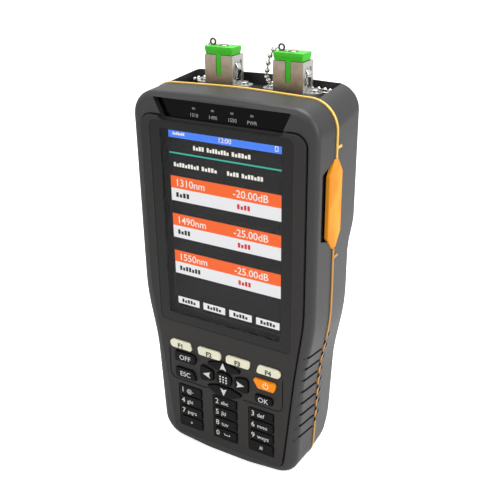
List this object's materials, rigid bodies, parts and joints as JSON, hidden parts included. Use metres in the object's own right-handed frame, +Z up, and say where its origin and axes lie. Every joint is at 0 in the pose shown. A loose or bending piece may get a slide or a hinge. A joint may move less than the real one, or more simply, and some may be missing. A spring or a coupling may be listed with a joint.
{
  "type": "optical power meter",
  "caption": "Handheld optical power meter with a tall screen, key pad, orange seam and side port cover, and capped fibre adapters with ball chains in a pocket at the top.",
  "frame": {"origin": "on the flat foot it stands on, in the middle plane, below the middle of the body's depth", "axes": "+X to the user's right, +Y from the screen to the back, +Z up along the body"},
  "size_m": [0.0817, 0.0416, 0.1759],
  "materials": {
    "housing_plastic": "soft-touch textured",
    "orange_rubber": "matte",
    "panel_plastic": "fine satin",
    "clear_window": "clear polished",
    "gloss_black": "polished",
    "lamp_lens": "clear",
    "screen_glass": "polished",
    "light_guide": "clear",
    "lcd_tray": "satin",
    "switch_rubber": "matte",
    "circuit_board": "satin solder mask",
    "support_plastic": "satin",
    "tinned_steel": "bright tinned",
    "battery_wrap": "smooth film",
    "screw_steel": "plated",
    "pocket_plastic": "fine satin",
    "adapter_metal": "warm satin nickel",
    "spring_steel": "bright",
    "ceramic": "polished white",
    "green_plastic": "smooth moulded",
    "chain_chrome": "bright",
    "cream_key": "smooth",
    "orange_key": "smooth",
    "black_key": "smooth"
  },
  "bodies": {
    "housing": {"adapter_left": "adapter_metal", "adapter_right": "adapter_metal", "ball_chain_left": "chain_chrome", "ball_chain_right": "chain_chrome", "battery_cover": "housing_plastic", "battery_pack": "battery_wrap", "board_supports": "support_plastic", "case_screws": "screw_steel", "charging_jack": "support_plastic", "connector_plate": "pocket_plastic", "detectors": "tinned_steel", "display_window": "clear_window", "ferrule_sleeves": "ceramic", "flange_screws": "screw_steel", "front_housing": "housing_plastic", "front_panel": "panel_plastic", "indicator_board": "circuit_board", "indicator_leds": "lamp_lens", "indicator_window": "gloss_black", "keypad_board": "circuit_board", "keypad_mat": "switch_rubber", "latch_springs": "spring_steel", "lcd_backlight": "light_guide", "lcd_frame": "lcd_tray", "lcd_panel": "screen_glass", "main_board": "circuit_board", "rear_housing": "housing_plastic", "seam_gasket": "orange_rubber", "shield_can": "tinned_steel", "usb_socket": "tinned_steel"},
    "key_0_cap": {"key_0": "black_key"},
    "key_1_cap": {"key_1": "black_key"},
    "key_2_cap": {"key_2": "black_key"},
    "key_3_cap": {"key_3": "black_key"},
    "key_4_cap": {"key_4": "black_key"},
    "key_5_cap": {"key_5": "black_key"},
    "key_6_cap": {"key_6": "black_key"},
    "key_7_cap": {"key_7": "black_key"},
    "key_8_cap": {"key_8": "black_key"},
    "key_9_cap": {"key_9": "black_key"},
    "key_centre_cap": {"key_centre": "black_key"},
    "key_down_cap": {"key_down": "black_key"},
    "key_escape_cap": {"key_escape": "black_key"},
    "key_f1_cap": {"key_f1": "cream_key"},
    "key_f2_cap": {"key_f2": "cream_key"},
    "key_f3_cap": {"key_f3": "cream_key"},
    "key_f4_cap": {"key_f4": "cream_key"},
    "key_hash_cap": {"key_hash": "black_key"},
    "key_left_cap": {"key_left": "black_key"},
    "key_off_cap": {"key_off": "black_key"},
    "key_ok_cap": {"key_ok": "black_key"},
    "key_power_cap": {"key_power": "orange_key"},
    "key_right_cap": {"key_right": "black_key"},
    "key_star_cap": {"key_star": "black_key"},
    "key_up_cap": {"key_up": "black_key"},
    "cap_left": {"dust_cap_left": "green_plastic", "cap_ring_left": "chain_chrome"},
    "cap_right": {"dust_cap_right": "green_plastic", "cap_ring_right": "chain_chrome"},
    "port_flap": {"port_cover": "orange_rubber"}
  },
  "joints": [
    {"name": "key_0_press", "type": "slide", "parent": "housing", "child": "key_0_cap", "axis": [0, 1, 0], "range_m": [0, 0.0008], "stiffness_N_per_m": 400},
    {"name": "key_1_press", "type": "slide", "parent": "housing", "child": "key_1_cap", "axis": [0, 1, 0], "range_m": [0, 0.0008], "stiffness_N_per_m": 400},
    {"name": "key_2_press", "type": "slide", "parent": "housing", "child": "key_2_cap", "axis": [0, 1, 0], "range_m": [0, 0.0008], "stiffness_N_per_m": 400},
    {"name": "key_3_press", "type": "slide", "parent": "housing", "child": "key_3_cap", "axis": [0, 1, 0], "range_m": [0, 0.0008], "stiffness_N_per_m": 400},
    {"name": "key_4_press", "type": "slide", "parent": "housing", "child": "key_4_cap", "axis": [0, 1, 0], "range_m": [0, 0.0008], "stiffness_N_per_m": 400},
    {"name": "key_5_press", "type": "slide", "parent": "housing", "child": "key_5_cap", "axis": [0, 1, 0], "range_m": [0, 0.0008], "stiffness_N_per_m": 400},
    {"name": "key_6_press", "type": "slide", "parent": "housing", "child": "key_6_cap", "axis": [0, 1, 0], "range_m": [0, 0.0008], "stiffness_N_per_m": 400},
    {"name": "key_7_press", "type": "slide", "parent": "housing", "child": "key_7_cap", "axis": [0, 1, 0], "range_m": [0, 0.0008], "stiffness_N_per_m": 400},
    {"name": "key_8_press", "type": "slide", "parent": "housing", "child": "key_8_cap", "axis": [0, 1, 0], "range_m": [0, 0.0008], "stiffness_N_per_m": 400},
    {"name": "key_9_press", "type": "slide", "parent": "housing", "child": "key_9_cap", "axis": [0, 1, 0], "range_m": [0, 0.0008], "stiffness_N_per_m": 400},
    {"name": "key_centre_press", "type": "slide", "parent": "housing", "child": "key_centre_cap", "axis": [0, 1, 0], "range_m": [0, 0.0008], "stiffness_N_per_m": 400},
    {"name": "key_down_press", "type": "slide", "parent": "housing", "child": "key_down_cap", "axis": [0, 1, 0], "range_m": [0, 0.0008], "stiffness_N_per_m": 400},
    {"name": "key_escape_press", "type": "slide", "parent": "housing", "child": "key_escape_cap", "axis": [0, 1, 0], "range_m": [0, 0.0008], "stiffness_N_per_m": 400},
    {"name": "key_f1_press", "type": "slide", "parent": "housing", "child": "key_f1_cap", "axis": [0, 1, 0], "range_m": [0, 0.0008], "stiffness_N_per_m": 400},
    {"name": "key_f2_press", "type": "slide", "parent": "housing", "child": "key_f2_cap", "axis": [0, 1, 0], "range_m": [0, 0.0008], "stiffness_N_per_m": 400},
    {"name": "key_f3_press", "type": "slide", "parent": "housing", "child": "key_f3_cap", "axis": [0, 1, 0], "range_m": [0, 0.0008], "stiffness_N_per_m": 400},
    {"name": "key_f4_press", "type": "slide", "parent": "housing", "child": "key_f4_cap", "axis": [0, 1, 0], "range_m": [0, 0.0008], "stiffness_N_per_m": 400},
    {"name": "key_hash_press", "type": "slide", "parent": "housing", "child": "key_hash_cap", "axis": [0, 1, 0], "range_m": [0, 0.0008], "stiffness_N_per_m": 400},
    {"name": "key_left_press", "type": "slide", "parent": "housing", "child": "key_left_cap", "axis": [0, 1, 0], "range_m": [0, 0.0008], "stiffness_N_per_m": 400},
    {"name": "key_off_press", "type": "slide", "parent": "housing", "child": "key_off_cap", "axis": [0, 1, 0], "range_m": [0, 0.0008], "stiffness_N_per_m": 400},
    {"name": "key_ok_press", "type": "slide", "parent": "housing", "child": "key_ok_cap", "axis": [0, 1, 0], "range_m": [0, 0.0008], "stiffness_N_per_m": 400},
    {"name": "key_power_press", "type": "slide", "parent": "housing", "child": "key_power_cap", "axis": [0, 1, 0], "range_m": [0, 0.0008], "stiffness_N_per_m": 400},
    {"name": "key_right_press", "type": "slide", "parent": "housing", "child": "key_right_cap", "axis": [0, 1, 0], "range_m": [0, 0.0008], "stiffness_N_per_m": 400},
    {"name": "key_star_press", "type": "slide", "parent": "housing", "child": "key_star_cap", "axis": [0, 1, 0], "range_m": [0, 0.0008], "stiffness_N_per_m": 400},
    {"name": "key_up_press", "type": "slide", "parent": "housing", "child": "key_up_cap", "axis": [0, 1, 0], "range_m": [0, 0.0008], "stiffness_N_per_m": 400},
    {"name": "cap_lift_left", "type": "slide", "parent": "housing", "child": "cap_left", "axis": [0, 0, 1], "range_m": [0, 0.012]},
    {"name": "cap_lift_right", "type": "slide", "parent": "housing", "child": "cap_right", "axis": [0, 0, 1], "range_m": [0, 0.012]},
    {"name": "port_flap_swing", "type": "hinge", "parent": "housing", "child": "port_flap", "pos_m": [0.0414, -0.0046, 0.139], "axis": [0, -1, 0], "range_deg": [0, 100]}
  ]
}
